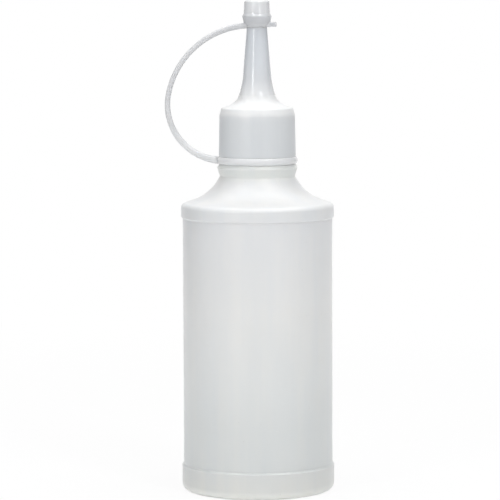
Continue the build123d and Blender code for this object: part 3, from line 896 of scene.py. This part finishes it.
# The nozzle cap's tints by height: the crown's whiteness is a painted highlight of the lamps above, its lower
# edge wandering, and the dark stops from 174.6 to 178.2 are a painted shadow of the tip cap's bowl on the top
# of the spout. Between them the spout gets greyer and bluer upwards.
capLook = {
    **polyethylene, "thick": (0.77, 0.785, 0.80, 1), "thin": (0.745, 0.765, 0.785, 1), "cloudSize": 80.0,
    "peel": 0.22, "lines": 0.08, "scuff": 0.4, "rub": 0.4, "scuffed": (0.80, 0.81, 0.82, 1),
    "rough": 0.07, "roughSpread": 0.03, "matt": (149.5, 152, 0.32), "wander": (1.6, 110.0),
    "depth": 0.3, "radius": (1.6, 1.7, 1.8),
    "tintsAndPaintedLight": [
        (124, (0.84, 0.85, 0.855)), (140.8, (0.85, 0.86, 0.86)), (142.6, (0.90, 0.90, 0.895)),
        (144, (1.02, 1.01, 0.99)), (150, (1.02, 1.01, 0.99)), (152.5, (0.94, 0.935, 0.93)),
        (157, (0.85, 0.855, 0.865)), (164, (0.825, 0.84, 0.86)), (172, (0.79, 0.81, 0.835)),
        (174.6, (0.775, 0.79, 0.815)), (176.4, (0.715, 0.73, 0.755)), (178.2, (0.65, 0.665, 0.69)),
        (184, (0.80, 0.82, 0.84)),
    ],
}
# Ring, strap and tip cap are one moulding. Their tints by height are palest at the ring, whose lift is
# painted light that hides the shade at its lower edge, greyest half way up the strap, and darkest from 178.6
# to 181.1, where painted shade lies on the underside of the tip cap's bowl and on its ledge, damping the
# light from above.
tetherTintsAndPaintedLight = [
    (124, (1.05, 1.05, 1.05)), (125.2, (1.02, 1.02, 1.02)), (126.2, (0.965, 0.965, 0.965)), (131, (1, 1, 1)),
    (141, (0.86, 0.86, 0.865)), (152, (0.83, 0.83, 0.84)), (168, (0.88, 0.88, 0.885)),
    (176, (0.80, 0.80, 0.81)), (178.6, (0.735, 0.74, 0.755)), (180.2, (0.775, 0.78, 0.795)),
    (181.1, (0.86, 0.865, 0.87)), (182, (0.915, 0.915, 0.925)), (186, (0.94, 0.94, 0.94)),
]
tipLook = {
    **capLook, "cloudSize": 130.0, "tintsAndPaintedLight": tetherTintsAndPaintedLight, "matt": None, "wander": None,
    "thick": (0.745, 0.755, 0.765, 1), "thin": (0.72, 0.733, 0.745, 1),
}
strapLook = {
    **tipLook, "rough": 0.36, "cloudSize": 90.0,
    "thick": (0.74, 0.745, 0.75, 1), "thin": (0.69, 0.70, 0.705, 1),
}


# Washer: closed-cell foam, whose cells are a Voronoi distance, with pressed skin
foamLook = {
    "pore": (0.6, 0.6, 0.58, 1), "skin": (0.8, 0.8, 0.78, 1), "stain": (0.7, 0.69, 0.65, 1),
    "stainShare": 0.25, "cells": 2600, "grain": 500, "grainDetail": 3, "grainLimits": (0.2, 0.8),
    "rough": (0.7, 0.9), "bump": 0.7, "bumpDistance": 0.0001, "depth": 0.2, "radius": (1, 1, 1),
    "scatterScale": 0.001,
}


def makeFoam(look):
    material, tree, shader, vector = startMaterial("washerFoam")
    cells = cellNode(tree, vector, look["cells"])
    grain = noiseNode(tree, vector, look["grain"], look["grainDetail"])
    colour = mixColour(tree, cells, look["pore"], look["skin"])
    colour = mixColour(tree, mathNode(tree, "MULTIPLY", grain, look["stainShare"]), colour, look["stain"])
    bump = addNode(tree, "ShaderNodeBump", {
        "Height": cells, "Strength": look["bump"], "Distance": look["bumpDistance"]})
    fillInputs(tree, shader, {
        "Base Color": colour, "Normal": bump.outputs["Normal"],
        "Roughness": rampNode(tree, grain, *look["grainLimits"], *look["rough"]),
        "Subsurface Weight": look["depth"], "Subsurface Radius": look["radius"],
        "Subsurface Scale": look["scatterScale"]})
    return material


bottleMaterial = makePolyethylene("bottlePolyethylene", bottleLook)
capMaterial = makePolyethylene("capPolyethylene", capLook)
tipMaterial = makePolyethylene("tipPolyethylene", tipLook)
strapMaterial = makePolyethylene("strapPolyethylene", strapLook)
foamMaterial = makeFoam(foamLook)

for piece, material, body, node, slot in (
    (bottleShell, bottleMaterial, "bottle", "bottle", "bottle_polyethylene"),
    (washerRing, foamMaterial, "seal", "sealing_washer", "washer_foam"),
    (nozzleCapShell, capMaterial, "closure", "nozzle_cap", "cap_polyethylene"),
    (tetherRing, tipMaterial, "tether", "tether_ring", "cap_polyethylene"),
    (tipCapShell, tipMaterial, "tip", "tip_cap", "cap_polyethylene"),
    (liftTab, tipMaterial, "tip", "tip_cap", "cap_polyethylene"),
):
    piece.data.materials.append(material)
    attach(piece, body)
    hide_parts(node)

tetherStrap.data.materials.append(strapMaterial)
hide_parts("tether_strap")
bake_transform(tetherStrap)
print("materials and joints set")


# 1 for what the camera sees directly, mirrored or through something, and 0 for light on its way
def seenRays(tree):
    path = addNode(tree, "ShaderNodeLightPath").outputs
    seen = mathNode(tree, "ADD", path["Is Camera Ray"], path["Is Glossy Ray"], clamp=True)
    return mathNode(tree, "ADD", seen, path["Is Transmission Ray"], clamp=True)


# Floor: a wide disc. Seen directly it is mostly plain white, with enough of the lit surface left near
# the bottle for its shadow to show; for all other rays it is a pale matt surface.
floorLook = {
    "radius": 6.0, "sides": 96, "colour": (0.92, 0.92, 0.92, 1), "nearWhite": 0.90, "near": 0.10, "far": 0.55,
}


def addFloor(look):
    angle = np.linspace(0, 2 * np.pi, look["sides"], endpoint=False)
    mesh = bpy.data.meshes.new("floor")
    rim = np.column_stack([np.cos(angle), np.sin(angle), 0 * angle]) * look["radius"]
    mesh.from_pydata(rim.tolist(), [], [list(range(len(rim)))])
    floor = addObject("floor", mesh)
    material = bpy.data.materials.new("floorWhite")
    material.use_nodes = True
    tree = material.node_tree
    tree.nodes.clear()
    vector = addNode(tree, "ShaderNodeTexCoord").outputs["Object"]
    distance = addNode(tree, "ShaderNodeVectorMath", {0: vector}, operation="LENGTH").outputs["Value"]
    white = rampNode(tree, distance, look["near"], look["far"], look["nearWhite"], 1.0)
    matt = addNode(tree, "ShaderNodeBsdfDiffuse", {"Color": look["colour"]})
    glow = addNode(tree, "ShaderNodeEmission", {"Color": (1, 1, 1, 1), "Strength": 1.0})
    share = mathNode(tree, "MULTIPLY", seenRays(tree), white)
    mix = addNode(tree, "ShaderNodeMixShader", {0: share, 1: matt.outputs[0], 2: glow.outputs[0]})
    addNode(tree, "ShaderNodeOutputMaterial", {"Surface": mix.outputs[0]})
    mesh.materials.append(material)


# World: white where it is seen or mirrored, grey where it lights the bottle
worldLook = {"seen": (1.0, 1.0, 1.0, 1), "light": (0.28, 0.28, 0.285, 1)}


def addWorld(look):
    world = bpy.data.worlds.new("studio")
    world.use_nodes = True
    tree = world.node_tree
    tree.nodes.clear()
    light = addNode(tree, "ShaderNodeBackground", {"Color": look["light"], "Strength": 1.0})
    plain = addNode(tree, "ShaderNodeBackground", {"Color": look["seen"], "Strength": 1.0})
    mix = addNode(tree, "ShaderNodeMixShader", {0: seenRays(tree), 1: light.outputs[0], 2: plain.outputs[0]})
    addNode(tree, "ShaderNodeOutputWorld", {"Surface": mix.outputs[0]})
    bpy.context.scene.world = world


# Softboxes, each aimed at the middle of the bottle. The strip, the right box and the low box draw the
# highlights of the body, the glints and the high box those of the spout and the tip cap, and the side and
# top boxes light the edges and the shoulder. Azimuth is from the camera's side, positive to the right.
# Sizes are width and height in metres, and powers are watts.
lampTarget = Vector((0, 0, 0.1))
lampLook = {
    "leftStrip": {"azimuth": -33, "elevation": 19, "distance": 0.95, "size": (0.19, 0.80), "power": 0.98},
    "leftGlint": {"azimuth": -35, "elevation": 14, "distance": 0.95, "size": (0.11, 0.34), "power": 0.86},
    "leftHigh": {"azimuth": -33, "elevation": 56, "distance": 0.95, "size": (0.12, 0.10), "power": 0.17},
    "rightBox": {"azimuth": 29, "elevation": 45, "distance": 0.95, "size": (0.16, 0.46), "power": 2.05},
    "rightGlint": {"azimuth": 25, "elevation": 10.4, "distance": 0.95, "size": (0.12, 0.022), "power": 0.06},
    "rightLow": {"azimuth": 29, "elevation": -1, "distance": 0.95, "size": (0.20, 0.17), "power": 0.32},
    "leftSide": {"azimuth": -80, "elevation": 66, "distance": 0.90, "size": (0.40, 0.30), "power": 0.66},
    "rightSide": {"azimuth": 78, "elevation": 66, "distance": 0.90, "size": (0.40, 0.30), "power": 0.85},
    "frontFill": {"azimuth": 0, "elevation": 22, "distance": 1.6, "size": (1.6, 0.9), "power": 0.75},
    "topBack": {"azimuth": 180, "elevation": 72, "distance": 0.80, "size": (0.90, 0.60), "power": 2.4},
    "topFront": {"azimuth": 0, "elevation": 80, "distance": 0.80, "size": (0.80, 0.60), "power": 2.0},
}
# Grey flags, out of sight behind the bottle's sides, which its edges mirror in place of the white room
flagLook = {
    "leftFlag": {"azimuth": -118, "distance": 0.75, "width": 0.75, "foot": 0.002, "top": 0.75, "grey": 0.18},
    "rightFlag": {"azimuth": 118, "distance": 0.75, "width": 0.75, "foot": 0.08, "top": 0.75, "grey": 0.42},
}
flagRoughness = 0.9


# The way from the bottle to a place round it: (sin a cos e, -cos a cos e, sin e)
def wayTo(azimuth, elevation=0.0):
    a, e = np.radians([azimuth, elevation])
    return Vector((np.sin(a) * np.cos(e), -np.cos(a) * np.cos(e), np.sin(e)))


def addFlag(name, look):
    across, up = look["width"] / 2, look["top"] - look["foot"]
    mesh = bpy.data.meshes.new(name)
    mesh.from_pydata([(-across, 0, 0), (across, 0, 0), (across, 0, up), (-across, 0, up)], [], [(0, 1, 2, 3)])
    flag = addObject(name, mesh)
    place = wayTo(look["azimuth"]) * look["distance"] + Vector((0, 0, look["foot"]))
    flag.matrix_world = Matrix.Translation(place) @ Matrix.Rotation(np.radians(look["azimuth"]), 4, "Z")
    flag.visible_camera = False
    material = bpy.data.materials.new(name)
    material.use_nodes = True
    fillInputs(material.node_tree, material.node_tree.nodes["Principled BSDF"], {
        "Base Color": (*[look["grey"]] * 3, 1), "Roughness": flagRoughness})
    mesh.materials.append(material)


def addLamp(name, look):
    data = bpy.data.lights.new(name, "AREA")
    data.shape = "RECTANGLE"
    data.size, data.size_y = look["size"]
    data.energy = look["power"]
    lamp = addObject(name, data)
    away = wayTo(look["azimuth"], look["elevation"])
    turn = (-away).to_track_quat("-Z", "Y").to_matrix().to_4x4()
    lamp.matrix_world = Matrix.Translation(lampTarget + away * look["distance"]) @ turn
    lamp.visible_camera = False


addFloor(floorLook)
addWorld(worldLook)
for name, look in lampLook.items():
    addLamp(name, look)
for name, look in flagLook.items():
    addFlag(name, look)
bpy.context.scene.view_settings.view_transform = "Standard"
print("stage and lamps set")
